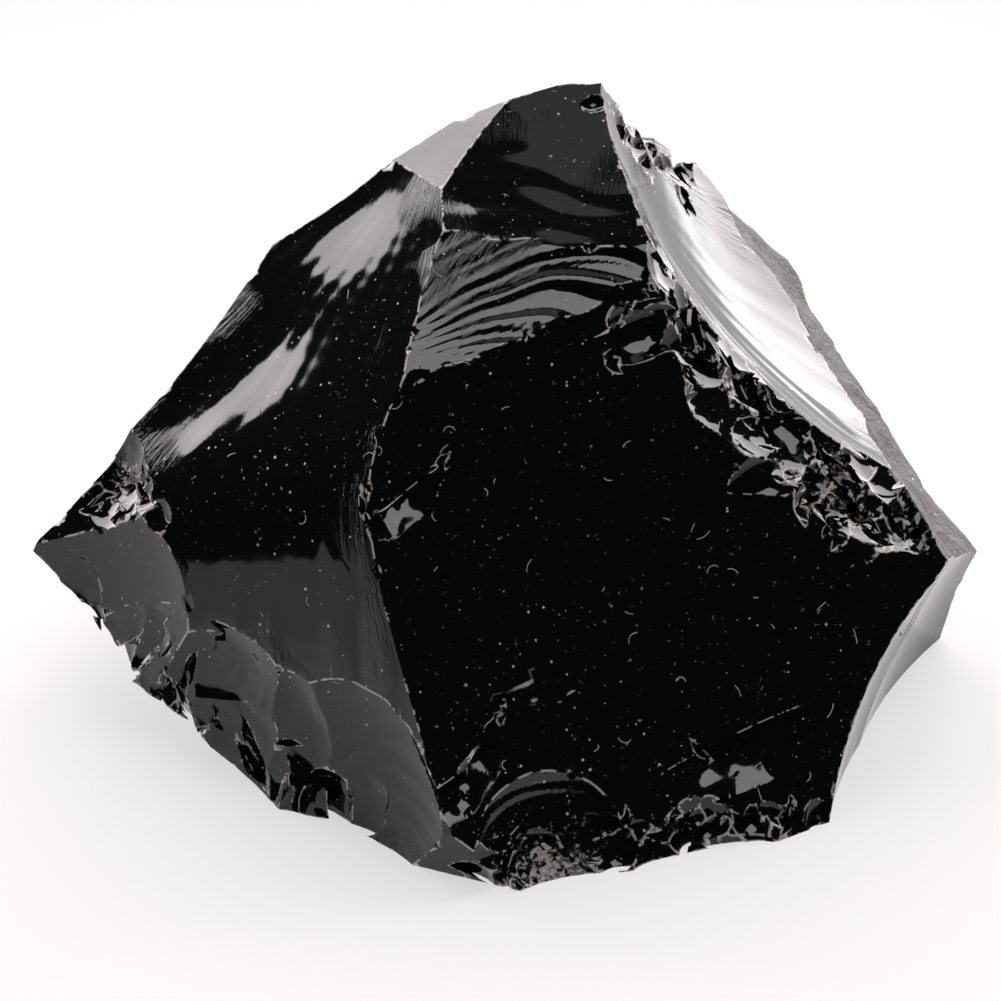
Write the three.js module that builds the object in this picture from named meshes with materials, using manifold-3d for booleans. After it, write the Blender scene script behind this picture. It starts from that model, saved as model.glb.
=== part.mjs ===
// A hand-sized chunk of obsidian, broken on every side.
//
// Obsidian is volcanic glass. It has no grain, so each blow takes off a flake and leaves a smooth scar that is
// slightly hollow or slightly bulged. The chunk is modelled the way it formed: a block, with one scar after another
// struck off it, and the sharp ridges are where two scars meet. It is one piece, so it is one mesh.
//
// Millimetres, +Z up, the broad front scar faces -Y. The origin is under the middle of the chunk, on the surface
// that it rests on. The corners below are measured from the toe, where the front scar touches down.
import * as THREE from "three";
import { mergeVertices } from "three/addons/utils/BufferGeometryUtils.js";
import Module from "manifold-3d";

const wasm = await Module();
wasm.setup();

const OBSIDIAN_BLACK = 0x0b0a0a;
const BLOCK = { low: [-43, -2, 0], high: [43, 78, 56] }; // the uncut block
const HEART = new THREE.Vector3(2, 30, 18); // a point deep inside the chunk: scars face away from it
const REACH = 75; // how far a large scar's sheet runs from its middle
const FLATNESS = 0.03; // how far a sheet's facets may stray from its curve
const LARGEST_STEP = 6;
const FLAT = Infinity; // the radius of a scar with no hollow

const at = {
  toe: [4.3, 0, 0],
  rightHeel: [28.5, 9.3, 0],
  instep: [-18.4, 11.3, 0],
  ridgeLow: [-6.9, 7.3, 15.7],
  ridgeMid: [-12.2, 16.9, 30.9],
  ridgeKnee: [-9.9, 22.4, 37.2],
  ridgeHigh: [-4, 35, 45.6],
  ridgeTop: [-3.5, 47.5, 51.2],
  shoulder: [9.3, 48.3, 49.7],
  rightBrow: [12.4, 37.8, 44.1],
  rightFist: [34.1, 29.3, 24],
  elbow: [38.8, 26, 17],
  leftNeck: [-20, 45.5, 38.5],
  leftTemple: [-33.2, 36.9, 23.9],
  leftCheek: [-30.5, 28.5, 21.1],
  innerCheek: [-28.5, 25.5, 16.9],
  leftTip: [-42.2, 36.6, 11.4],
  leftJaw: [-39.1, 30.9, 9.6],
  leftChin: [-25.9, 21.6, 12.1],
  innerChin: [-18.3, 14.3, 8.6],
  backCrest: [19.2, 63.9, 34.7],
  backWrist: [34.4, 35.6, 21.7],
  crustEdge: [25.5, 73.9, 24],
  crustTip: [37.6, 45.3, 5],
};

// Each scar runs through three corners. radii are its radii of curvature along the first two corners and across
// them: positive where the scar is hollow, negative where it bulges.
const scars = {
  base: { through: [[0, 0, 0], [20, 0, 0], [0, 20, 0]], radii: [FLAT, FLAT] },
  front: { through: [at.toe, at.rightHeel, at.ridgeKnee], radii: [300, 300] },
  frontRight: { through: [[30.6, 24.9, 19.8], [23.8, 7.9, 0.6], [33, 21, 11.1]], radii: [FLAT, FLAT] },
  left: {
    through: [at.ridgeHigh, at.ridgeMid, at.leftTemple],
    foldsTo: [at.ridgeMid, at.ridgeLow, at.innerCheek],
    softness: 2,
    radii: [FLAT, FLAT],
  },
  ripple: { through: [at.ridgeKnee, [12.1, 33.6, 41], at.ridgeHigh], radii: [150, 150] },
  crown: { through: [at.ridgeHigh, at.rightBrow, at.ridgeTop], radii: [90, 150] },
  right: { through: [at.shoulder, at.rightFist, at.backCrest], radii: [52, 60] },
  rightFoot: { through: [at.rightHeel, at.elbow, [33.1, 25.2, 3.7]], radii: [45, 60] },
  rightHeelBack: { through: [[38, 30.1, 12.2], [33.1, 25.2, 3.7], [41.3, 43.1, 2.7]], radii: [60, 60] },
  crust: { through: [at.backCrest, at.backWrist, at.crustEdge], radii: [FLAT, 40] },
  crownEdge: { through: [[-4.7, 40, 47.9], [2.2, 50.8, 51.8], [-5.3, 49.1, 49.1]], radii: [FLAT, FLAT] },
  napeLeft: { through: [at.ridgeTop, at.leftNeck, [-14, 66, 28]], radii: [90, 90] },
  backLeft: { through: [at.leftNeck, at.leftTemple, [-26, 62, 10]], radii: [90, 90] },
  tipBack: { through: [[-35.8, 39.4, 22.2], at.leftTip, [-34, 58, 4]], radii: [FLAT, 90] },
  shoulderBack: { through: [[11.5, 58.9, 45.6], [18, 65.4, 37.2], [8, 70, 25]], radii: [-60, 90] },
  crustTop: { through: [[19.4, 67.4, 32.7], [25.8, 75, 24], [12, 70, 26]], radii: [FLAT, FLAT] },
  back: { through: [[19.7, 76, 22], [-16, 66, 20], [10, 66, 2]], radii: [120, 120] },
  backRight: { through: [at.crustEdge, at.crustTip, [20, 72, 2]], radii: [80, 80] },
  underLeft: { through: [at.instep, at.leftJaw, [-22, 40, 0]], radii: [-80, -150] },
  tip: { through: [at.leftCheek, at.innerCheek, [-40.8, 36.4, 13.1]], radii: [40, 40] },
  temple: { through: [at.leftTemple, at.leftCheek, [-41, 37, 13.6]], radii: [40, 40] },
  chin: { through: [at.leftChin, at.innerChin, [-31, 23, 3]], radii: [25, 25] },
  footLeft: { through: [at.innerChin, [-6.5, 4.3, 11.5], [-12.7, 9.3, -0.4]], radii: [22, 30] },
  toeLeft: { through: [[-4.9, 0.7, 5.7], [0.7, -0.3, 1.5], [-6.7, 3.3, 0.7]], radii: [FLAT, FLAT] },
  bulb: { through: [[-1.6, -0.3, 2.6], [12, 4.7, 2.3], [5.1, 1.8, 0]], radii: [14, 10] },
  browChip: { through: [[12, 34.5, 43], [16.7, 31.7, 36.1], [16.6, 36.8, 40.4]], radii: [20, 20] },
  cheekChip: { through: [[15, 31, 36], [21.9, 27.5, 26.7], [21.2, 35, 32.2]], radii: [20, 20] },
  fistChip: { through: [[23.6, 27.1, 27], [31.6, 25.4, 19.3], [31.2, 32.5, 24.5]], radii: [20, 20] },
};

const vectors = (points) => points.map((p) => new THREE.Vector3(...p));

// A plane through three points, as a height for each place (u, v) below it.
function planeThrough(points, heights) {
  const rows = points.map((p) => [p.x, p.y, 1]);
  const slope = new THREE.Vector3(...heights);
  slope.applyMatrix3(new THREE.Matrix3().set(...rows.flat()).invert());
  return (u, v) => slope.x * u + slope.y * v + slope.z;
}

// The sheet that a scar is cut to: its height above the plane of its three corners. The bow lifts it off its
// corners, so a tilted plane puts it back on them. A scar that folds is the lower of two planes, with the crease
// between them rounded.
function sheetOf(scar, onPlane) {
  const local = (points) => vectors(points).map((p) => p.applyMatrix4(onPlane));
  const [alongRadius, acrossRadius] = scar.radii;
  const bow = (u, v) => (u * u) / (2 * alongRadius) + (v * v) / (2 * acrossRadius);
  const corners = local(scar.through);
  const flat = planeThrough(corners, corners.map((p) => p.z - bow(p.x, p.y)));
  if (!scar.foldsTo) return (u, v) => bow(u, v) + flat(u, v);

  const others = local(scar.foldsTo);
  const folded = planeThrough(others, others.map((p) => p.z));
  return (u, v) => {
    const [a, b] = [flat(u, v), folded(u, v)];
    return bow(u, v) + (a + b) / 2 - Math.hypot((a - b) / 2, scar.softness) + scar.softness / 2;
  };
}

function sheetStep(scar) {
  const tightest = scar.foldsTo ? 4 * scar.softness : Math.min(...scar.radii.map(Math.abs));
  return Math.min(LARGEST_STEP, Math.sqrt(8 * FLATNESS * tightest));
}

function solidFrom(geometry) {
  const bare = geometry.clone();
  bare.deleteAttribute("normal");
  bare.deleteAttribute("uv");
  const merged = mergeVertices(bare, 1e-4);
  return new wasm.Manifold(
    new wasm.Mesh({
      numProp: 3,
      vertProperties: merged.attributes.position.array,
      triVerts: new Uint32Array(merged.index.array),
    }),
  );
}

// Everything that a blow takes away: from the scar's sheet outwards.
function flakeOf(scar) {
  const [first, second, third] = vectors(scar.through);
  const middle = first.clone().add(second).add(third).divideScalar(3);
  const along = second.clone().sub(first).normalize();
  const outward = along.clone().cross(third.clone().sub(first)).normalize();
  if (outward.dot(middle.clone().sub(HEART)) < 0) outward.negate();
  const across = outward.clone().cross(along);
  const place = new THREE.Matrix4().makeBasis(along, across, outward).setPosition(middle);
  const height = sheetOf(scar, place.clone().invert());

  const steps = Math.ceil((2 * REACH) / sheetStep(scar));
  const slab = new THREE.BoxGeometry(2 * REACH, 2 * REACH, 2, steps, steps, 1);
  const corner = slab.attributes.position;
  let top = 0;
  for (let i = 0; i < corner.count; i++) top = Math.max(top, height(corner.getX(i), corner.getY(i)));
  for (let i = 0; i < corner.count; i++) {
    corner.setZ(i, corner.getZ(i) > 0 ? top + REACH : height(corner.getX(i), corner.getY(i)));
  }
  return solidFrom(slab.applyMatrix4(place));
}

function brokenChunk() {
  const bounds = new THREE.Box3(...vectors([BLOCK.low, BLOCK.high]));
  const block = new THREE.BoxGeometry(...bounds.getSize(new THREE.Vector3()));
  let chunk = solidFrom(block.translate(...bounds.getCenter(new THREE.Vector3())));
  for (const scar of Object.values(scars)) chunk = chunk.subtract(flakeOf(scar));
  // A hollow sheet rises away from the chunk, and can leave a loose splinter of the block beyond it.
  return chunk.decompose().sort((a, b) => b.volume() - a.volume())[0];
}

function geometryFrom(solid) {
  const { vertProperties, triVerts } = solid.getMesh();
  const geometry = new THREE.BufferGeometry();
  geometry.setAttribute("position", new THREE.BufferAttribute(vertProperties, 3));
  geometry.setIndex(new THREE.BufferAttribute(triVerts, 1));
  return geometry;
}

const geometry = geometryFrom(brokenChunk());
geometry.computeBoundingBox();
const middle = geometry.boundingBox.getCenter(new THREE.Vector3());
geometry.translate(-middle.x, -middle.y, -geometry.boundingBox.min.z);
geometry.computeVertexNormals();

const glass = new THREE.MeshStandardMaterial({ color: OBSIDIAN_BLACK, roughness: 0.08, metalness: 0 });
const chunk = new THREE.Mesh(geometry, glass);
chunk.name = "obsidian_chunk";

const part = new THREE.Group();
part.add(chunk);

export default part;
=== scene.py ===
import math

import bmesh
import bpy
import numpy as np
from mathutils import Matrix, Quaternion, Vector, kdtree
from mathutils.bvhtree import BVHTree


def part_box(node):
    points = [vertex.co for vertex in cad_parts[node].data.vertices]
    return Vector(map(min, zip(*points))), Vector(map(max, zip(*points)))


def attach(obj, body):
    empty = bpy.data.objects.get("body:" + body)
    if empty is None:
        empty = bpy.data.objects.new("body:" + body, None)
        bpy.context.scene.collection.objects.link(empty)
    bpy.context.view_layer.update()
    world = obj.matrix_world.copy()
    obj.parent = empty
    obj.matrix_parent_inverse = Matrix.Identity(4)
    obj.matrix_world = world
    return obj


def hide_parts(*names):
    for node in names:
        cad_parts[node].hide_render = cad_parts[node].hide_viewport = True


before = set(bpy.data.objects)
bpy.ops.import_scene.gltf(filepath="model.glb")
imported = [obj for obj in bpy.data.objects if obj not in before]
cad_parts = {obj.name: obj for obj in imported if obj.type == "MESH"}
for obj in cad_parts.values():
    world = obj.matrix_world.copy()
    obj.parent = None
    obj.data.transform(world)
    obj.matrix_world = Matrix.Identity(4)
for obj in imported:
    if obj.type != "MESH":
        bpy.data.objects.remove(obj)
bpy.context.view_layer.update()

# A hand-sized chunk of obsidian, made the way it broke: a block, less one flake for every scar.
# Scars are in millimetres, measured from the toe, where the broad front scar touches down.

MM = 0.001
LOW_CORNER = np.array((-41.76, -0.25, 0.0))  # of the chunk's box, from the toe
TOE = np.array(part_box("obsidian_chunk")[0]) / MM - LOW_CORNER
BLOCK = ((-43, -2, 0), (43, 78, 56))  # the uncut block, low corner and high corner
HEART = (2, 30, 18)  # a point deep inside the chunk: scars face away from it
REACH = 75.0  # how far a large scar's sheet runs from its middle
FLAT = math.inf  # the radius of a scar with no hollow
RIDGE_CHIPS = 260
FIBRES = 60

# How far two faces turn, in degrees, where they meet.
SCAR_RIDGE = 6  # more than this is a ridge between two scars
CHIP_RIDGE = 22  # more than this is a ridge between two faces of small chips
BRITTLE_RIDGE = 20  # more than this, outwards, is thin enough to chip, and gets a pale line that is crushed glass and painted highlight

# Sizes of the fine patterns, in millimetres.
HACKLE = 10 / 26  # 26 streaks in a centimetre
HACKLED_ZONE = 100 / 11
HACKLE_HEIGHT = 0.10
CRUST_PIT = 10 / 13
CRUST_HEIGHT = 0.5
# The pale line along the ridges: crushed glass, and a painted highlight where the edge catches the light.
RIDGE_POWDER_AND_HIGHLIGHT = 0.15
RIDGE_POWDER_AND_HIGHLIGHT_GAP = 10 / 9
POWDER_GRAIN = 10 / 16
DUST_CELL = 2 / 3  # one speck at most in each
SPECK_RAGGEDNESS = 1 / 6
DUST_DRIFT = 100 / 9
FIBRE_GRIME = 10 / 7

rng = np.random.default_rng(7)
LATTICE = rng.uniform(-1, 1, (256, 256))  # the values that noise runs through

AT = {
    "toe": (4.3, 0, 0),
    "right_heel": (28.5, 9.3, 0),
    "instep": (-18.4, 11.3, 0),
    "ridge_low": (-6.9, 7.3, 15.7),
    "ridge_mid": (-12.2, 16.9, 30.9),
    "ridge_knee": (-9.9, 22.4, 37.2),
    "ridge_high": (-4, 35, 45.6),
    "ridge_top": (-3.5, 47.5, 51.2),
    "shoulder": (9.3, 48.3, 49.7),
    "right_brow": (12.4, 37.8, 44.1),
    "right_fist": (34.1, 29.3, 24),
    "elbow": (38.8, 26, 17),
    "left_neck": (-20, 45.5, 38.5),
    "left_temple": (-33.2, 36.9, 23.9),
    "left_cheek": (-30.5, 28.5, 21.1),
    "inner_cheek": (-28.5, 25.5, 16.9),
    "left_tip": (-42.2, 36.6, 11.4),
    "left_jaw": (-39.1, 30.9, 9.6),
    "left_chin": (-25.9, 21.6, 12.1),
    "inner_chin": (-18.3, 14.3, 8.6),
    "back_crest": (19.2, 63.9, 34.7),
    "back_wrist": (34.4, 35.6, 21.7),
    "crust_edge": (25.5, 73.9, 24),
    "crust_tip": (37.6, 45.3, 5),
}


def noise(x, y):
    """Smooth value noise between -1 and 1, with one lattice point for each unit."""
    column, row = np.floor(x).astype(int), np.floor(y).astype(int)
    s, t = x - column, y - row
    s, t = s * s * (3 - 2 * s), t * t * (3 - 2 * t)

    def at(i, j):
        return LATTICE[(column + i) % len(LATTICE), (row + j) % len(LATTICE)]

    return (at(0, 0) * (1 - s) + at(1, 0) * s) * (1 - t) + (at(0, 1) * (1 - s) + at(1, 1) * s) * t


def lumpy(x, y, octaves):
    """Noise with finer and lower noise on top of it."""
    return sum(noise(x * 2**i + 17 * i, y * 2**i + 5 * i) / 2**i for i in range(octaves))


def cosine(degrees):
    return math.cos(math.radians(degrees))


class Scar:
    """One scar: a curved sheet through three corners. Everything outside the sheet was struck off.

    radii: its radii along the first two corners and across them, positive where it is hollow.
    strike: where the blow landed, which its ripples are rings about. ripple: (spacing, height).
    fan: (period, slope, bend) of folds that spread from the strike, in radians, and radians for each mm.
    wave: (length, height) of its slow unevenness. rough: height of the pits of a weathered face.
    dents: (place, width, depth) of soft hollows. grain: how far apart the points of its mesh are.
    """

    patch, waver, fold_waver, pitting = 11, 7, 6, 3.5  # over what length its unevenness changes

    def __init__(self, name, through, radii, folds_to=None, softness=2.0, strike=None, ripple=(2.0, 0.004),
                 fan=(1.0, 0.0, 0.0), wave=(14.0, 0.05), rough=0.0, dents=(), grain=0.5):
        self.name = name
        self.corners = [np.array(AT[c] if isinstance(c, str) else c, float) for c in through]
        self.radii, self.softness, self.grain = radii, softness, grain
        self.ripple, self.fan, self.wave, self.rough = ripple, fan, wave, rough
        first, second, third = self.corners
        self.middle = (first + second + third) / 3
        along = (second - first) / np.linalg.norm(second - first)
        outward = np.cross(along, third - first)
        outward /= np.linalg.norm(outward)
        if outward @ (self.middle - HEART) < 0:
            outward = -outward
        self.axes = np.array((along, np.cross(outward, along), outward))
        self.plane = self.plane_through(self.corners, bowed=True)
        self.fold = None
        if folds_to:
            self.fold = self.plane_through([np.array(AT[c], float) for c in folds_to], bowed=False)
        self.strike = self.local(np.array([strike or self.middle], float))[0]
        self.dents = []
        for place, width, depth in dents:
            self.dents.append((self.local(np.array([place], float))[0], width, depth))

    def local(self, points):
        return (points - self.middle) @ self.axes.T

    def world(self, points):
        return points @ self.axes + self.middle

    def bow(self, u, v):
        return u * u / (2 * self.radii[0]) + v * v / (2 * self.radii[1])

    def plane_through(self, corners, bowed):
        local = self.local(np.array(corners))
        heights = local[:, 2] - (self.bow(local[:, 0], local[:, 1]) if bowed else 0)
        rows = np.column_stack((local[:, :2], np.ones(3)))
        return np.linalg.solve(rows, heights)

    def smooth_height(self, u, v):
        a = self.plane[0] * u + self.plane[1] * v + self.plane[2]
        if self.fold is not None:
            b = self.fold[0] * u + self.fold[1] * v + self.fold[2]
            a = (a + b) / 2 - np.hypot((a - b) / 2, self.softness) + self.softness / 2
        return self.bow(u, v) + a

    def ring_and_ray(self, u, v):
        """How far a place is from the strike, and its direction from there as an arc at the scar's middle."""
        du, dv = u - self.strike[0], v - self.strike[1]
        facing = math.atan2(-self.strike[1], -self.strike[0])
        turn = (np.arctan2(dv, du) - facing + math.pi) % (2 * math.pi) - math.pi
        return np.hypot(du, dv), turn

    def height(self, u, v):
        """The sheet with its ripples, its slow unevenness and its dents."""
        ring, turn = self.ring_and_ray(u, v)
        spacing, rise = self.ripple
        patchy = np.clip(0.5 + 0.9 * noise(u / self.patch + 90, v / self.patch + 30), 0, 1)
        wavering = 0.4 * noise(u / self.waver + 40, v / self.waver)
        rings = np.sin(2 * math.pi * (ring / spacing + wavering))
        z = self.smooth_height(u, v) + rise * patchy * rings
        period, slope, bend = self.fan
        straying = 0.35 * noise(u / self.fold_waver, v / self.fold_waver)
        folds = 2 * math.pi * ((turn + bend * ring) / period + straying)
        z += slope * period * ring / (2 * math.pi) * (np.sin(folds) + 0.3 * np.sin(2.3 * folds + 1))
        length, swell = self.wave
        z += swell * lumpy(u / length + 9, v / length + 3, 2)
        z += self.rough * lumpy(u / self.pitting, v / self.pitting, 4)
        for place, width, depth in self.dents:
            z -= depth * np.exp(-((u - place[0]) ** 2 + (v - place[1]) ** 2) / (2 * width**2))
        return z


WEATHERED = dict(rough=0.35, ripple=(3.0, 0.0), grain=0.6)  # the old outer crust, pitted and dull
FAR_SIDE = dict(ripple=(3.2, 0.012), grain=0.7)

SCARS = [
    Scar("base", ((0, 0, 0), (20, 0, 0), (0, 20, 0)), (FLAT, FLAT), ripple=(3, 0), wave=(14, 0), grain=3),
    Scar("front", ("toe", "right_heel", "ridge_knee"), (300, 300), strike=(5.1, 0.6, 0.1),
         ripple=(2.6, 0.006)),
    Scar("front_right", ((30.6, 24.9, 19.8), (23.8, 7.9, 0.6), (33, 21, 11.1)), (FLAT, FLAT)),
    Scar("left", ("ridge_high", "ridge_mid", "left_temple"), (FLAT, FLAT), strike=(-4, 47, 51),
         folds_to=("ridge_mid", "ridge_low", "inner_cheek"), wave=(16, 0.06),
         fan=(0.12, 0.026, 0.004), grain=0.4,
         dents=[((-13.2, 43.1, 43.3), 3.2, 0.6), ((-22, 35.7, 32.8), 3.8, 0.7),
                ((-28.4, 35.2, 27.4), 2.8, 0.75)]),
    Scar("ripple", ("ridge_knee", (12.1, 33.6, 41), "ridge_high"), (150, 150), strike=(-11.2, 22.6, 37),
         ripple=(2, 0.01), fan=(0.19, 0.20, 0.028), grain=0.35),
    Scar("crown", ("ridge_high", "right_brow", "ridge_top"), (90, 150), strike=(0, -60, 0),
         ripple=(4.6, 0.035)),
    Scar("right", ("shoulder", "right_fist", "back_crest"), (52, 60), strike=(8, 50, 52),
         fan=(0.13, 0.035, 0), wave=(10, 0.10)),
    Scar("right_foot", ("right_heel", "elbow", (33.1, 25.2, 3.7)), (45, 60)),
    Scar("right_heel_back", ((38, 30.1, 12.2), (33.1, 25.2, 3.7), (41.3, 43.1, 2.7)), (60, 60)),
    Scar("crust", ("back_crest", "back_wrist", "crust_edge"), (FLAT, 40), **WEATHERED),
    Scar("crown_edge", ((-4.7, 40, 47.9), (2.2, 50.8, 51.8), (-5.3, 49.1, 49.1)), (FLAT, FLAT)),
    Scar("nape_left", ("ridge_top", "left_neck", (-14, 66, 28)), (90, 90), **FAR_SIDE),
    Scar("back_left", ("left_neck", "left_temple", (-26, 62, 10)), (90, 90), **FAR_SIDE),
    Scar("tip_back", ((-35.8, 39.4, 22.2), "left_tip", (-34, 58, 4)), (FLAT, 90), **FAR_SIDE),
    Scar("shoulder_back", ((11.5, 58.9, 45.6), (18, 65.4, 37.2), (8, 70, 25)), (-60, 90), **FAR_SIDE),
    Scar("crust_top", ((19.4, 67.4, 32.7), (25.8, 75, 24), (12, 70, 26)), (FLAT, FLAT), **WEATHERED),
    Scar("back", ((19.7, 76, 22), (-16, 66, 20), (10, 66, 2)), (120, 120), **FAR_SIDE),
    Scar("back_right", ("crust_edge", "crust_tip", (20, 72, 2)), (80, 80), **WEATHERED),
    Scar("under_left", ("instep", "left_jaw", (-22, 40, 0)), (-80, -150), **FAR_SIDE),
    Scar("tip", ("left_cheek", "inner_cheek", (-40.8, 36.4, 13.1)), (40, 40)),
    Scar("temple", ("left_temple", "left_cheek", (-41, 37, 13.6)), (40, 40)),
    Scar("chin", ("left_chin", "inner_chin", (-31, 23, 3)), (25, 25), ripple=(2.0, 0.05), grain=0.35),
    Scar("foot_left", ("inner_chin", (-6.5, 4.3, 11.5), (-12.7, 9.3, -0.4)), (22, 30), strike=(-9, 5, -2),
         ripple=(2.4, 0.06), grain=0.35),
    Scar("toe_left", ((-4.9, 0.7, 5.7), (0.7, -0.3, 1.5), (-6.7, 3.3, 0.7)), (FLAT, FLAT)),
    Scar("bulb", ((-1.6, -0.3, 2.6), (12, 4.7, 2.3), (5.1, 1.8, 0)), (14, 10), strike=(5, 1, -2),
         ripple=(1.3, 0.05), grain=0.28),
    Scar("brow_chip", ((12, 34.5, 43), (16.7, 31.7, 36.1), (16.6, 36.8, 40.4)), (20, 20)),
    Scar("cheek_chip", ((15, 31, 36), (21.9, 27.5, 26.7), (21.2, 35, 32.2)), (20, 20)),
    Scar("fist_chip", ((23.6, 27.1, 27), (31.6, 25.4, 19.3), (31.2, 32.5, 24.5)), (20, 20)),
]
CHIP = len(SCARS)  # the number that faces of the small chips carry

# Single hollows. radius is how wide the bowl curves, stretch is its width over its length, spin turns it.
HOLLOW = ("place", "outward", "radius", "depth", "stretch", "spin")
HOLLOWS = [
    ((-3, 3.5, 7.9), (0.18, -0.62, 0.77), 28, 0.5, 0.8, 1.2),
    ((20.8, 10.8, 4.9), (0.18, -0.62, 0.77), 28, 0.4, 0.9, 0.3),
    ((-8.6, 16.2, 27.4), (0.18, -0.62, 0.77), 22, 0.5, 0.7, 1.0),
    ((5.1, 11, 12.4), (0.25, -0.7, 0.66), 40, 0.06, 0.5, 0.0),
    ((11.3, 31, 36.9), (0.2, -0.66, 0.72), 22, 0.3, 0.5, 0.4),
    ((-34.6, 29.4, 7.4), (-0.67, -0.68, 0.31), 20, 0.9, 0.5, 0.5),
    ((-30.5, 26.5, 8.5), (-0.65, -0.7, 0.2), 16, 0.6, 0.7, 0.5),
    ((-23.7, 20.1, 9.9), (-0.64, -0.72, 0.1), 18, 0.7, 0.7, 0.2),
    ((-22.4, 17.3, 2.4), (-0.69, -0.65, 0.2), 20, 0.8, 0.9, 0.8),
    ((-17, 14, 7), (-0.6, -0.78, 0.1), 16, 0.6, 0.7, 2.0),
    ((-13, 10.5, 3), (-0.5, -0.85, 0.05), 16, 0.6, 0.8, 2.0),
    ((-34.1, 35.2, 20.4), (-0.75, -0.44, 0.5), 12, 0.7, 0.7, 1.4),
    ((8.2, 49.5, 50.8), (0.1, -0.2, 1), 1.6, 1.1, 0.7, 0.0),
    ((12, 50, 48.6), (0.6, 0, 0.8), 4, 0.9, 0.7, 0.0),
    ((17.3, 6.9, 1.7), (0.28, -0.8, 0.5), 12, 0.7, 0.7, 0.2),
    ((27.5, 10, 3.5), (0.6, -0.7, 0.3), 10, 0.8, 0.7, 1.0),
    ((36.4, 29.2, 19.8), (0.3, -0.5, 0.8), 6, 0.8, 0.7, 1.0),
]

# Crushed stretches: route, spread, how many chips, least and greatest radius, least and greatest depth.
BATTERED = [
    (((14, 41, 41), (17, 34, 36), (22.8, 31.5, 30), (29, 29, 25), (33, 28.5, 22)),
     1.8, 34, (3, 10), (0.2, 0.8)),
    (((27, 29.5, 25), (33, 27.5, 22.5), (36, 27, 19)),
     1.3, 34, (0.9, 4), (0.15, 0.6)),
    (((-41, 35, 10), (-36, 29, 5.5), (-28, 22, 2.5), (-20, 14, 1.2), (-11, 7, 1.2)),
     1.2, 24, (6, 18), (0.15, 0.5)),
    (((-38, 36, 17), (-33, 34, 20), (-31, 29, 19.5)),
     1.3, 12, (3, 9), (0.15, 0.4)),
    (((-2, 1, 2), (6, 1, 1.5), (14, 5, 1.5), (22, 7.5, 1.5), (28, 10, 1.5)),
     1.1, 34, (2, 8), (0.15, 0.6)),
    (((12, 52, 48), (15, 57, 43), (18, 62, 37)),
     1.2, 22, (1.5, 5), (0.2, 0.6)),
    (((-30, 48, 20), (-20, 58, 24), (-8, 64, 20), (6, 68, 12), (16, 70, 8)),
     4, 14, (9, 22), (0.4, 1.1)),
]

# Where the glass is bruised to a pale powdery white: place and reach.
BRUISES = [((30.5, 29.5, 24.3), 3.4), ((34, 28, 21.5), 2.6), ((5, 1.2, 1.2), 4.2), ((-33.5, 34.5, 20.5), 2.6),
           ((-28, 22.5, 3), 2.0), ((12, 52, 48.5), 3.0), ((16, 58.5, 42), 3.0), ((21, 33, 31), 2.0)]


def grid_lines(low, high, step):
    """Places across a sheet: a step apart where the scar shows, and far apart out to its reach."""
    coarse = 8.0
    inner = np.arange(low, high + step, step)
    before = np.arange(inner[0] - coarse, -REACH, -coarse)[::-1]
    after = np.arange(inner[-1] + coarse, REACH, coarse)
    return np.concatenate(([-REACH], before, inner, after, [REACH]))


def mesh_object(name, points, faces):
    """A new object with this mesh."""
    mesh = bpy.data.meshes.new(name)
    mesh.from_pydata(points, [], faces)
    mesh.update()
    piece = bpy.data.objects.new(name, mesh)
    bpy.context.scene.collection.objects.link(piece)
    return piece


def shown_part(scar):
    """The lowest and highest (u, v) of what no other scar took from this one."""
    spacing, spare = 1.5, 0.6
    across = np.arange(-REACH, REACH, spacing)
    u, v = (grid.ravel() for grid in np.meshgrid(across, across, indexing="ij"))
    points = scar.world(np.stack((u, v, scar.smooth_height(u, v)), -1))
    left = ((points > np.array(BLOCK[0]) - spare) & (points < np.array(BLOCK[1]) + spare)).all(1)
    for other in SCARS:
        if other is not scar:
            local = other.local(points)
            left &= local[:, 2] < other.smooth_height(local[:, 0], local[:, 1]) + spare
    low = np.array((u[left].min(), v[left].min())) - spacing
    high = np.array((u[left].max(), v[left].max())) + spacing
    return low, high


def flake(scar):
    """The solid that a blow took away: from the scar's sheet outwards, fine where the sheet still shows."""
    low, high = shown_part(scar)
    us, vs = (grid_lines(low[i], high[i], scar.grain) for i in (0, 1))
    u, v = np.meshgrid(us, vs, indexing="ij")
    sheet = np.stack((u, v, scar.height(u, v)), -1)
    rows, columns = u.shape
    index = np.arange(rows * columns).reshape(rows, columns)
    quads = np.stack((index[:-1, :-1], index[:-1, 1:], index[1:, 1:], index[1:, :-1]), -1).reshape(-1, 4)
    rim = np.concatenate((index[:, 0], index[-1, 1:], index[-2::-1, -1], index[0, -2:0:-1]))
    lid = np.arange(len(rim)) + rows * columns
    top = sheet.reshape(-1, 3)[rim].copy()
    top[:, 2] = sheet[..., 2].max() + REACH
    walls = np.stack((rim, np.roll(rim, -1), np.roll(lid, -1), lid), -1)
    points = scar.world(np.concatenate((sheet.reshape(-1, 3), top)))
    faces = quads.tolist() + walls.tolist() + [lid.tolist()]
    return mesh_object(scar.name, points, faces)


def cut(piece, tool):
    """Takes the tool's solid away from the piece, and the tool out of the scene."""
    boolean = piece.modifiers.new("cut", "BOOLEAN")
    boolean.operation = "DIFFERENCE"
    boolean.solver = "MANIFOLD"
    boolean.object = tool
    depsgraph = bpy.context.evaluated_depsgraph_get()
    mesh = bpy.data.meshes.new_from_object(piece.evaluated_get(depsgraph))
    piece.modifiers.clear()
    old = piece.data
    piece.data = mesh
    bpy.data.meshes.remove(old)
    bpy.data.objects.remove(tool, do_unlink=True)


def read(items, name, width, kind=float):
    """One value of every item of a mesh, as rows of this width."""
    values = np.empty(len(items) * width, kind)
    items.foreach_get(name, values)
    return values.reshape(-1, width) if width > 1 else values


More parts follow.
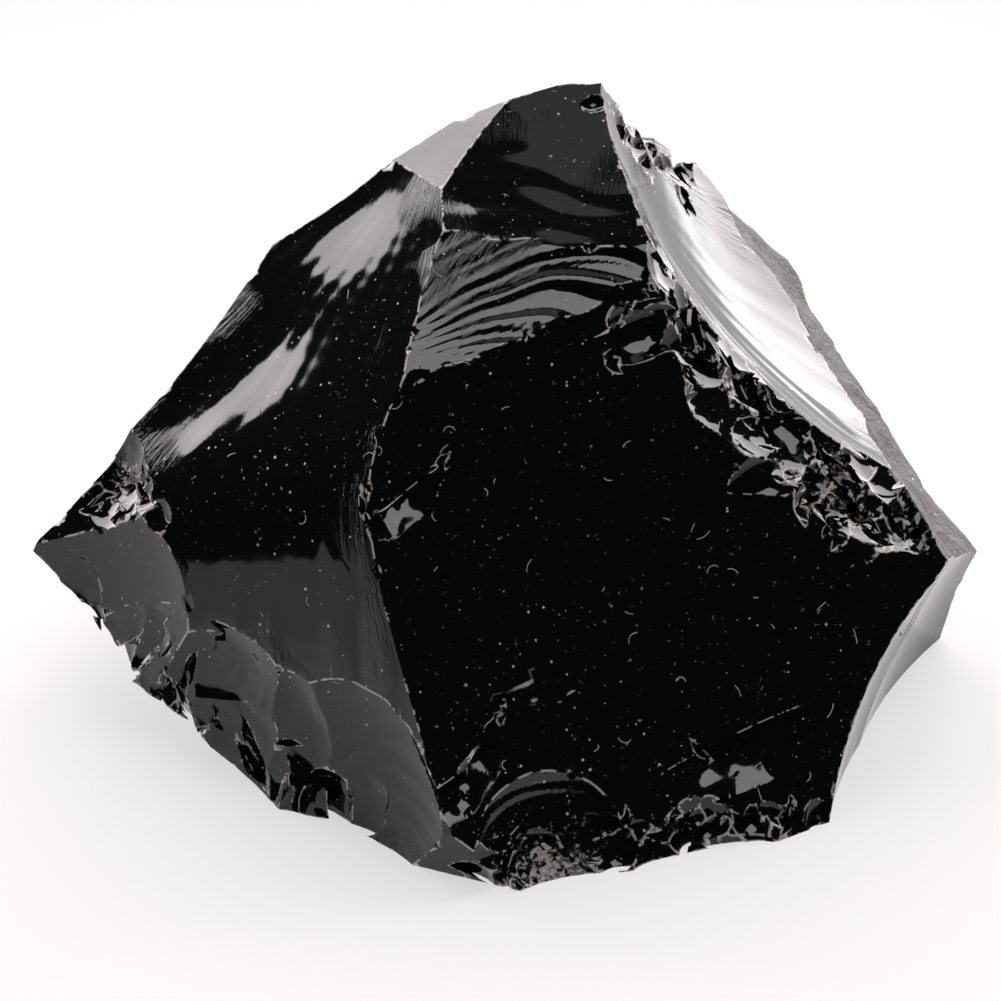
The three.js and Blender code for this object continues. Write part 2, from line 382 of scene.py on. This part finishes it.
def strike_large_scars():
    """The block, with the flake of every scar struck off it."""
    low, high = BLOCK
    corners = [(x, y, z) for x in (low[0], high[0]) for y in (low[1], high[1]) for z in (low[2], high[2])]
    sides = [(0, 1, 3, 2), (4, 6, 7, 5), (0, 4, 5, 1), (2, 3, 7, 6), (0, 2, 6, 4), (1, 5, 7, 3)]
    chunk = mesh_object("obsidian", corners, sides)
    for scar in SCARS:
        cut(chunk, flake(scar))
    return chunk


def which_scar(points):
    """The number of the scar that each point lies on."""
    off = []
    for scar in SCARS:
        local = scar.local(points)
        off.append(np.abs(local[:, 2] - scar.height(local[:, 0], local[:, 1])))
    off = np.array(off)
    chord_error = 0.03  # how far the middle of a flat face may be off its curved sheet
    slack = np.array([chord_error + scar.ripple[1] + 0.3 * scar.rough for scar in SCARS])
    nearest = off.argmin(0)
    return np.where(off.min(0) < slack[nearest], nearest, CHIP)


class Ridges:
    """The edges where two scars of a mesh meet, and how sharp each is."""

    def __init__(self, mesh):
        self.points = read(mesh.vertices, "co", 3)
        centres = read(mesh.polygons, "center", 3)
        self.face_scar = which_scar(centres)
        self.normals = read(mesh.polygons, "normal", 3)
        sizes = read(mesh.polygons, "loop_total", 1, int)
        self.loop_face = np.repeat(np.arange(len(sizes)), sizes)
        loop_edge = read(mesh.loops, "edge_index", 1, int)
        order = np.argsort(loop_edge, kind="stable")
        pair = self.loop_face[order].reshape(-1, 2)
        self.one, self.other = pair[:, 0], pair[:, 1]
        self.ends = read(mesh.edges, "vertices", 2, int)
        self.bend = (self.normals[self.one] * self.normals[self.other]).sum(1)
        outward = ((centres[self.other] - centres[self.one]) * self.normals[self.one]).sum(1)
        different = self.face_scar[self.one] != self.face_scar[self.other]
        chip = (self.face_scar[self.one] == CHIP) & (self.face_scar[self.other] == CHIP)
        between_scars = different & (self.bend < cosine(SCAR_RIDGE))
        self.sharp = between_scars | (chip & (self.bend < cosine(CHIP_RIDGE)))
        self.convex = self.sharp & (outward < 0) & (self.bend < cosine(BRITTLE_RIDGE))


def lens(place, outward, radius, depth, stretch=1.0, spin=0.0):
    """The hollow that a blow left, as a solid: a bowl sunk into the surface by depth, and a lid above it."""
    ring_spacing, spokes_per_mm = 0.4, 6
    rise = 0.5 + 0.3 * depth  # how far the bowl runs on above the surface, so that its rim is clear of it
    width = math.sqrt(2 * radius * (depth + rise))
    rings, spokes = max(4, round(width / ring_spacing)), max(16, round(spokes_per_mm * width))
    along, around = np.arange(1, rings + 1) / rings, np.arange(spokes) * 2 * math.pi / spokes
    r, a = (grid.ravel() for grid in np.meshgrid(along * width, around, indexing="ij"))
    r = r * (1 + 0.12 * np.sin(2 * a + spin) + 0.06 * np.sin(5 * a + 3 * spin))
    x, y = r * np.cos(a), stretch * r * np.sin(a)
    ripple_height, ripple_spacing = 0.015, 0.25 * width
    z = r * r / (2 * radius) + ripple_height * np.sin(2 * math.pi * r / ripple_spacing) * r / width - depth
    z += 0.016 * width * lumpy(x / (0.35 * width) + 7 * spin, y / (0.35 * width) + place[0], 2)
    local = np.column_stack((x, y, z))
    local = np.vstack(((0, 0, -depth), local))
    turned = Vector(outward).to_track_quat("Z", "Y").to_matrix() @ Matrix.Rotation(spin, 3, "Z")
    points = local @ np.array(turned).T + np.array(place)
    faces = [(0, 1 + (s + 1) % spokes, 1 + s) for s in range(spokes)]
    for ring in range(rings - 1):
        near, far = 1 + ring * spokes, 1 + (ring + 1) * spokes
        faces += [(near + s, near + (s + 1) % spokes, far + (s + 1) % spokes, far + s) for s in range(spokes)]
    faces.append(tuple(1 + (rings - 1) * spokes + s for s in range(spokes)))
    return points, faces, width


def strike_chips(chunk, chips):
    """Breaks chips out of the chunk, in rounds whose chips stay clear of each other."""
    rounds = []
    for chip in chips:
        points, faces, width = lens(**chip)
        place, apart = np.array(chip["place"]), 1.2 * width + 0.1
        for others in rounds:
            if all(np.linalg.norm(place - other) > apart + reach for other, reach, _, _ in others):
                others.append((place, apart, points, faces))
                break
        else:
            rounds.append([(place, apart, points, faces)])
    for others in rounds:
        points = np.vstack([more for _, _, more, _ in others])
        faces, start = [], 0
        for _, _, more, shapes in others:
            faces += [tuple(i + start for i in shape) for shape in shapes]
            start += len(more)
        cut(chunk, mesh_object("chips", points, faces))


def jittered(direction, amount):
    """The direction, bent a little at random."""
    bent = np.array(direction) + rng.normal(0, amount, 3)
    return bent / np.linalg.norm(bent)


def ridge_chips(chunk, count):
    """Small chips out of every sharp ridge, more of them where a ridge is long."""
    lowest, bend = 0.8, 0.35  # the edge that the chunk rests on stays whole
    ridges = Ridges(chunk.data)
    convex = np.flatnonzero(ridges.convex)
    ends = ridges.points[ridges.ends[convex]]
    middles = ends.mean(1)
    chance = np.linalg.norm(ends[:, 0] - ends[:, 1], axis=1) * (middles[:, 2] > lowest)
    chips = []
    for pick in rng.choice(len(convex), count, p=chance / chance.sum()):
        edge = convex[pick]
        outward = ridges.normals[ridges.one[edge]] + ridges.normals[ridges.other[edge]]
        chips.append(dict(place=middles[pick], outward=jittered(outward, bend), spin=rng.uniform(0, 6),
                          radius=0.7 + 4 * rng.random() ** 2, depth=0.04 + 0.25 * rng.random() ** 2,
                          stretch=rng.uniform(0.6, 1)))
    return chips


def surface_of(chunk):
    """The chunk's faces, to find the nearest place on them."""
    mesh = chunk.data
    return BVHTree.FromPolygons([v.co for v in mesh.vertices], [p.vertices for p in mesh.polygons])


def battered(chunk, route, spread, count, radii, depths):
    """Overlapping chips along a route where blows crushed the glass."""
    lowest, bend = 0.5, 0.3
    tree = surface_of(chunk)
    route = np.array(route, float)
    chips = []
    for _ in range(count):
        way = rng.uniform(0, len(route) - 1)
        leg = min(int(way), len(route) - 2)
        place = route[leg] + (way - leg) * (route[leg + 1] - route[leg]) + rng.normal(0, spread, 3)
        at, normal, _, _ = tree.find_nearest(Vector(place))
        if at.z < lowest:
            continue
        chips.append(dict(place=at, outward=jittered(normal, bend), spin=rng.uniform(0, 6),
                          radius=rng.uniform(*radii), depth=rng.uniform(*depths),
                          stretch=rng.uniform(0.55, 1)))
    return chips


def drop_splinters(chunk):
    """Removes what the blows cut free, so that one body is left."""
    ends = read(chunk.data.edges, "vertices", 2, int)
    label = np.arange(len(chunk.data.vertices))
    while True:
        joined = label.copy()
        least = label[ends].min(1)
        np.minimum.at(joined, ends[:, 0], least)
        np.minimum.at(joined, ends[:, 1], least)
        joined = joined[joined]
        if (joined == label).all():
            break
        label = joined
    kept = label == np.bincount(label).argmax()
    body = bmesh.new()
    body.from_mesh(chunk.data)
    loose = [vertex for vertex, keep in zip(body.verts, kept) if not keep]
    bmesh.ops.delete(body, geom=loose, context="VERTS")
    body.to_mesh(chunk.data)
    body.free()


def write_attribute(mesh, name, domain, values):
    """Notes one number for each point or corner of the mesh, for the material to read."""
    attribute = mesh.attributes.new(name, "FLOAT", domain)
    attribute.data.foreach_set("value", np.asarray(values, np.float32))


def finish_surface(chunk):
    """Marks the sharp ridges, and notes for each place its ridge distance, ring, ray and weathering."""
    mesh = chunk.data
    ridges = Ridges(mesh)
    mesh.polygons.foreach_set("use_smooth", np.ones(len(mesh.polygons), bool))
    mesh.edges.foreach_set("use_edge_sharp", ridges.sharp)

    on_ridge = np.unique(ridges.ends[ridges.convex])
    tree = kdtree.KDTree(len(on_ridge))
    for i, vertex in enumerate(on_ridge):
        tree.insert(ridges.points[vertex], i)
    tree.balance()
    write_attribute(mesh, "ridge_mm", "POINT", [tree.find(p)[2] for p in ridges.points])

    loop_vertex = read(mesh.loops, "vertex_index", 1, int)
    loop_scar = ridges.face_scar[ridges.loop_face]
    ring, ray = np.zeros(len(loop_vertex)), np.zeros(len(loop_vertex))
    for number, scar in enumerate(SCARS):
        here = loop_scar == number
        local = scar.local(ridges.points[loop_vertex[here]])
        ring[here], turn = scar.ring_and_ray(local[:, 0], local[:, 1])
        ray[here] = turn * np.linalg.norm(scar.strike[:2])
    write_attribute(mesh, "ring_mm", "CORNER", ring)
    write_attribute(mesh, "ray_mm", "CORNER", ray)
    bruise = []
    for place, reach in BRUISES:
        bruise.append(np.exp(-((np.linalg.norm(ridges.points - place, axis=1) / reach) ** 2)))
    write_attribute(mesh, "bruise", "POINT", np.max(bruise, axis=0))
    weathered = np.array([scar.rough > 0 for scar in SCARS] + [False])
    write_attribute(mesh, "rind", "CORNER", weathered[loop_scar])


def add(tree, kind, settings=None, sockets=None):
    """Adds a node. Its sockets are given by name or number, as values or as the outputs that feed them."""
    node = tree.nodes.new(kind)
    for name, value in (settings or {}).items():
        setattr(node, name, value)
    for name, value in (sockets or {}).items():
        if isinstance(value, bpy.types.NodeSocket):
            tree.links.new(value, node.inputs[name])
        else:
            node.inputs[name].default_value = value
    return node


def linear(hex_colour):
    """An sRGB hex colour as the linear RGBA that shaders take."""
    parts = [int(hex_colour[i:i + 2], 16) / 255 for i in (1, 3, 5)]
    return (*(p / 12.92 if p <= 0.04045 else ((p + 0.055) / 1.055) ** 2.4 for p in parts), 1.0)


def repeats(size):
    """How often a pattern of this size in millimetres fits in a metre."""
    return 1 / (size * MM)


PLUS = {"operation": "ADD"}
TIMES = {"operation": "MULTIPLY"}
POWER = {"operation": "POWER"}
LARGER = {"operation": "MAXIMUM"}
BELOW = {"operation": "LESS_THAN"}
ABOVE = {"operation": "GREATER_THAN"}
SMOOTHLY = {"interpolation_type": "SMOOTHSTEP"}


def lint(chunk, count):
    """Short curled fibres of dust that cling to the glass."""
    tree = surface_of(chunk)
    sides, thick, stride = 5, 0.035, 0.16  # thick is a fibre's radius
    strewn_low, strewn_high = (-35, 0, 5), (35, 30, 60)
    points, faces = [], []
    for _ in range(count):
        start, normal, _, _ = tree.find_nearest(Vector(rng.uniform(strewn_low, strewn_high)))
        heading = normal.cross(Vector(rng.normal(size=3))).normalized()
        curl = rng.normal(0, 0.25)
        steps = int(rng.integers(4, 11))
        here = start
        for step in range(steps):
            here, normal, _, _ = tree.find_nearest(here + heading * stride)
            heading = (heading - heading.dot(normal) * normal).normalized()
            heading.rotate(Quaternion(normal, curl))
            across = heading.cross(normal)
            for side in range(sides):
                turn = 2 * math.pi * side / sides
                lifted = here + normal * thick * (1 + math.sin(turn))
                points.append(lifted + across * thick * math.cos(turn))
            if step:
                low, high = len(points) - 2 * sides, len(points) - sides
                for i in range(sides):
                    beside = (i + 1) % sides
                    faces.append((low + i, low + beside, high + beside, high + i))
        first, last = len(points) - steps * sides, len(points) - sides
        faces.append(tuple(first + i for i in reversed(range(sides))))
        faces.append(tuple(last + i for i in range(sides)))
    return mesh_object("lint", points, faces)


def dust_lint():
    """Cotton fibres: pale and matt, so they catch light where the glass stays black."""
    material = bpy.data.materials.new("cotton_lint")
    material.use_nodes = True
    tree = material.node_tree
    tree.nodes.clear()
    place = add(tree, "ShaderNodeTexCoord").outputs["Object"]
    grime = add(tree, "ShaderNodeTexNoise", None,
                {"Vector": place, "Scale": repeats(FIBRE_GRIME)}).outputs["Fac"]
    colour = add(tree, "ShaderNodeMix", {"data_type": "RGBA"},
                 {0: grime, 6: linear("#8f8a86"), 7: linear("#dcd8d4")}).outputs[2]
    fibre = add(tree, "ShaderNodeBsdfPrincipled", None, {"Base Color": colour, "Roughness": 0.8, "IOR": 1.5})
    add(tree, "ShaderNodeOutputMaterial", None, {"Surface": fibre.outputs[0]})
    return material


def hackles(tree, noted, place):
    """The height in millimetres of fine streaks that run away from the strike, in zones close to a ridge."""
    reach, run = 5.0, 0.12  # run: how slowly a streak changes along its length
    along = add(tree, "ShaderNodeMath", TIMES, {0: noted["ring_mm"], 1: run}).outputs[0]
    streak_place = add(tree, "ShaderNodeCombineXYZ", None, {"X": noted["ray_mm"], "Y": along}).outputs[0]
    streaks = add(tree, "ShaderNodeTexNoise", {"noise_dimensions": "2D"},
                  {"Vector": streak_place, "Scale": 1 / HACKLE, "Detail": 4.0,
                   "Roughness": 0.6}).outputs["Fac"]
    near = add(tree, "ShaderNodeMapRange", SMOOTHLY,
               {"Value": noted["ridge_mm"], "From Min": 0.0, "From Max": reach,
                "To Min": 1.0, "To Max": 0.0}).outputs[0]
    patches = add(tree, "ShaderNodeTexNoise", None,
                  {"Vector": place, "Scale": repeats(HACKLED_ZONE), "Detail": 1.0}).outputs["Fac"]
    zones = add(tree, "ShaderNodeMapRange", None,
                {"Value": patches, "From Min": 0.5, "From Max": 0.62,
                 "To Min": 0.0, "To Max": 1.0}).outputs[0]
    strength = add(tree, "ShaderNodeMath", TIMES, {0: near, 1: zones}).outputs[0]
    shown = add(tree, "ShaderNodeMath", TIMES, {0: streaks, 1: strength}).outputs[0]
    return add(tree, "ShaderNodeMath", TIMES, {0: shown, 1: HACKLE_HEIGHT}).outputs[0]


def crust_pits(tree, noted, place):
    """The height in millimetres of the pitted crust, on weathered scars only."""
    pits = add(tree, "ShaderNodeTexNoise", None,
               {"Vector": place, "Scale": repeats(CRUST_PIT), "Detail": 6.0,
                "Roughness": 0.65}).outputs["Fac"]
    shown = add(tree, "ShaderNodeMath", TIMES, {0: pits, 1: noted["rind"]}).outputs[0]
    return add(tree, "ShaderNodeMath", TIMES, {0: shown, 1: CRUST_HEIGHT}).outputs[0]


def dust_specks(tree, place):
    """Where dust lies: ragged pale specks, a few large and most tiny, in drifts."""
    rareness, largest, ragged = 5.0, 0.20, 0.12 * MM  # largest: a speck's radius, in cells
    warp = add(tree, "ShaderNodeTexNoise", None,
               {"Vector": place, "Scale": repeats(SPECK_RAGGEDNESS)}).outputs["Color"]
    bent = add(tree, "ShaderNodeVectorMath", {"operation": "MULTIPLY_ADD"},
               {0: warp, 1: (ragged, ragged, ragged), 2: place}).outputs["Vector"]
    cells = add(tree, "ShaderNodeTexVoronoi", None, {"Vector": bent, "Scale": repeats(DUST_CELL)})
    chance = add(tree, "ShaderNodeSeparateColor", None, {0: cells.outputs["Color"]}).outputs[0]
    seldom = add(tree, "ShaderNodeMath", POWER, {0: chance, 1: rareness}).outputs[0]
    size = add(tree, "ShaderNodeMath", TIMES, {0: seldom, 1: largest}).outputs[0]
    clouds = add(tree, "ShaderNodeTexNoise", None,
                 {"Vector": place, "Scale": repeats(DUST_DRIFT), "Detail": 3.0}).outputs["Fac"]
    drifts = add(tree, "ShaderNodeMapRange", None,
                 {"Value": clouds, "From Min": 0.4, "From Max": 0.65,
                  "To Min": 0.35, "To Max": 1.25}).outputs[0]
    limit = add(tree, "ShaderNodeMath", TIMES, {0: size, 1: drifts}).outputs[0]
    return add(tree, "ShaderNodeMath", BELOW, {0: cells.outputs["Distance"], 1: limit}).outputs[0]


def crushed_glass_and_edge_highlight(tree, noted, place):
    """Where glass looks pale: broken lines along the ridges, which are crushed glass and a painted edge
    highlight, and grains of powder in the bruised places.
    """
    line = add(tree, "ShaderNodeMapRange", None,
               {"Value": noted["ridge_mm"], "From Min": 0.0, "From Max": RIDGE_POWDER_AND_HIGHLIGHT,
                "To Min": 1.0, "To Max": 0.0}).outputs[0]
    gaps = add(tree, "ShaderNodeTexNoise", None,
               {"Vector": place, "Scale": repeats(RIDGE_POWDER_AND_HIGHLIGHT_GAP), "Detail": 3.0}).outputs["Fac"]
    kept = add(tree, "ShaderNodeMath", ABOVE, {0: gaps, 1: 0.5}).outputs[0]
    # Crushed glass and painted highlight: a pale broken line right on every sharp ridge.
    ridge_powder_and_highlight = add(tree, "ShaderNodeMath", TIMES, {0: line, 1: kept}).outputs[0]
    grains = add(tree, "ShaderNodeTexNoise", None,
                 {"Vector": place, "Scale": repeats(POWDER_GRAIN), "Detail": 4.0,
                  "Roughness": 0.7}).outputs["Fac"]
    bruised = add(tree, "ShaderNodeMath", TIMES, {0: noted["bruise"], 1: 0.22}).outputs[0]
    dense = add(tree, "ShaderNodeMath", PLUS, {0: grains, 1: bruised}).outputs[0]
    powder = add(tree, "ShaderNodeMapRange", None,
                 {"Value": dense, "From Min": 0.66, "From Max": 0.74,
                  "To Min": 0.0, "To Max": 0.8}).outputs[0]
    return add(tree, "ShaderNodeMath", LARGER, {0: ridge_powder_and_highlight, 1: powder}).outputs[0]


def obsidian():
    """Volcanic glass, broken and never polished: black and mirror-bright, dusty and crushed at the edges,
    with a painted highlight along them.
    """
    material = bpy.data.materials.new("obsidian_fresh_fracture")
    material.use_nodes = True
    tree = material.node_tree
    tree.nodes.clear()
    place = add(tree, "ShaderNodeTexCoord").outputs["Object"]
    noted = {}
    for name in ("ridge_mm", "ring_mm", "ray_mm", "rind", "bruise"):
        noted[name] = add(tree, "ShaderNodeAttribute", {"attribute_name": name}).outputs["Fac"]

    streaks, pits = hackles(tree, noted, place), crust_pits(tree, noted, place)
    height = add(tree, "ShaderNodeMath", PLUS, {0: streaks, 1: pits}).outputs[0]
    bump = add(tree, "ShaderNodeBump", None, {"Height": height, "Strength": 1.0, "Distance": MM}).outputs[0]

    fresh, weathered = 0.05, 0.62
    dull = add(tree, "ShaderNodeMapRange", None,
               {"Value": noted["rind"], "To Min": fresh, "To Max": weathered}).outputs[0]
    glass = add(tree, "ShaderNodeBsdfPrincipled", None,
                {"Base Color": linear("#0b0a0b"), "Roughness": dull, "IOR": 1.5, "Normal": bump})
    powder = add(tree, "ShaderNodeBsdfPrincipled", None,
                 {"Base Color": linear("#cbc6c0"), "Roughness": 0.6, "IOR": 1.5, "Normal": bump})

    specks, crushed = dust_specks(tree, place), crushed_glass_and_edge_highlight(tree, noted, place)
    either = add(tree, "ShaderNodeMath", LARGER, {0: crushed, 1: specks}).outputs[0]
    greyed = add(tree, "ShaderNodeMath", TIMES, {0: noted["rind"], 1: 0.12}).outputs[0]
    pale = add(tree, "ShaderNodeMath", LARGER, {0: either, 1: greyed}).outputs[0]
    # The pale mix holds dust, weathered crust, crushed glass and the painted edge highlight.
    mixed = add(tree, "ShaderNodeMixShader", None, {0: pale, 1: glass.outputs[0], 2: powder.outputs[0]})
    add(tree, "ShaderNodeOutputMaterial", None, {"Surface": mixed.outputs[0]})
    return material


def floor():
    """A white studio table whose surface glows with painted light: brightest near the chunk and fading away
    from it so that shadows stay faint, and far brighter at the back.
    """
    half = 3  # metres, like the distances below
    # Painted light on the table: a glow near the chunk that fades further out, and a strong glow at the back.
    dim_from, dim_to, near_glow, far_glow = 0.12, 0.24, 0.64, 0.25
    back_from, back_to, back_glow = 0.13, 0.35, 5.0
    material = bpy.data.materials.new("white_acrylic_table")
    material.use_nodes = True
    tree = material.node_tree
    tree.nodes.clear()
    place = add(tree, "ShaderNodeTexCoord").outputs["Object"]
    depth = add(tree, "ShaderNodeSeparateXYZ", None, {0: place}).outputs["Y"]
    around = add(tree, "ShaderNodeVectorMath", {"operation": "LENGTH"}, {0: place}).outputs["Value"]
    fading = add(tree, "ShaderNodeMapRange", SMOOTHLY,
                 {"Value": around, "From Min": dim_from, "From Max": dim_to,
                  "To Min": near_glow, "To Max": far_glow}).outputs[0]
    rising = add(tree, "ShaderNodeMapRange", SMOOTHLY,
                 {"Value": depth, "From Min": back_from, "From Max": back_to,
                  "To Min": 0.0, "To Max": back_glow}).outputs[0]
    painted_glow_strength = add(tree, "ShaderNodeMath", PLUS, {0: fading, 1: rising}).outputs[0]
    diffuse = add(tree, "ShaderNodeBsdfDiffuse", None, {"Color": linear("#8b898a")})
    # The table glows by this painted light, though it is no lamp.
    glow = add(tree, "ShaderNodeEmission", None, {"Color": linear("#fffdfd"), "Strength": painted_glow_strength})
    both = add(tree, "ShaderNodeAddShader", None, {0: diffuse.outputs[0], 1: glow.outputs[0]})
    add(tree, "ShaderNodeOutputMaterial", None, {"Surface": both.outputs[0]})
    corners = [(-half, -half, 0), (half, -half, 0), (half, half, 0), (-half, half, 0)]
    table = mesh_object("table", corners, [(0, 1, 2, 3)])
    table.data.materials.append(material)


def sky():
    """One broad soft light behind the chunk, a white backdrop, and darkness elsewhere."""
    world = bpy.data.worlds.new("studio")
    bpy.context.scene.world = world
    world.use_nodes = True
    tree = world.node_tree
    tree.nodes.clear()
    direction = add(tree, "ShaderNodeTexCoord").outputs["Generated"]
    toward = Vector((0, 0.98, 0.2)).normalized()
    facing = add(tree, "ShaderNodeVectorMath", {"operation": "DOT_PRODUCT"},
                 {0: direction, 1: toward}).outputs["Value"]
    edge, soft, dark, bright = cosine(57), 0.015, 0.02, 6.0  # the panel reaches 57 degrees from its middle
    panel = add(tree, "ShaderNodeMapRange", SMOOTHLY,
                {"Value": facing, "From Min": edge - soft, "From Max": edge + soft,
                 "To Min": dark, "To Max": bright})
    seen = add(tree, "ShaderNodeLightPath").outputs["Is Camera Ray"]
    strength = add(tree, "ShaderNodeMix", {"data_type": "FLOAT"},
                   {"Factor": seen, "A": panel.outputs[0], "B": 1.0})
    background = add(tree, "ShaderNodeBackground", None,
                     {"Color": linear("#fffafa"), "Strength": strength.outputs["Result"]})
    add(tree, "ShaderNodeOutputWorld", None, {"Surface": background.outputs[0]})


def softbox(name, azimuth, elevation, distance, width, luminance):
    """A square panel that faces the chunk. Azimuth 0 is where the camera stands, and grows to the right."""
    aim = Vector((0, 0, 0.03))  # the middle of the chunk
    light = bpy.data.lights.new(name, "AREA")
    light.shape, light.size = "SQUARE", width
    light.energy = luminance * math.pi * width**2
    panel = bpy.data.objects.new(name, light)
    bpy.context.scene.collection.objects.link(panel)
    a, e = math.radians(azimuth), math.radians(elevation)
    toward = Vector((math.sin(a) * math.cos(e), -math.cos(a) * math.cos(e), math.sin(e)))
    panel.location = toward * distance + aim
    panel.rotation_euler = toward.to_track_quat("Z", "Y").to_euler()


def camera():
    """Looks down at the chunk by 30 degrees, from 0.7 m."""
    distance, seen_width, looked_at = 0.7, 0.0861, (0, 16.75, 29.01)  # metres, but looked_at is from the toe
    data = bpy.data.cameras.new("camera")
    data.sensor_width = 36
    data.lens = data.sensor_width * distance / seen_width
    eye = bpy.data.objects.new("camera", data)
    bpy.context.scene.collection.objects.link(eye)
    bpy.context.scene.camera = eye
    down = math.radians(30)
    looking = Vector((0, math.cos(down), -math.sin(down)))
    eye.location = Vector((TOE + looked_at) * MM) - looking * distance
    eye.rotation_euler = looking.to_track_quat("-Z", "Y").to_euler()


chunk = strike_large_scars()
strike_chips(chunk, [dict(zip(HOLLOW, values)) for values in HOLLOWS])
for crushed_stretch in BATTERED:
    strike_chips(chunk, battered(chunk, *crushed_stretch))
strike_chips(chunk, ridge_chips(chunk, RIDGE_CHIPS))
drop_splinters(chunk)
finish_surface(chunk)
fibres = lint(chunk, FIBRES)
chunk.data.materials.clear()
chunk.data.materials.append(obsidian())
fibres.data.materials.append(dust_lint())
with bpy.context.temp_override(active_object=chunk, selected_editable_objects=[chunk, fibres]):
    bpy.ops.object.join()
mesh = chunk.data
mesh.vertices.foreach_set("co", ((read(mesh.vertices, "co", 3) + TOE) * MM).ravel())
mesh.update()
chunk.name = "knapped_obsidian"
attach(chunk, "root")
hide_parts("obsidian_chunk")

floor()
sky()
softbox("key", azimuth=52, elevation=65, distance=0.6, width=0.22, luminance=3.9)
softbox("overhead", azimuth=120, elevation=77, distance=0.6, width=0.14, luminance=0.6)
camera()
bpy.context.scene.view_settings.view_transform = "Standard"
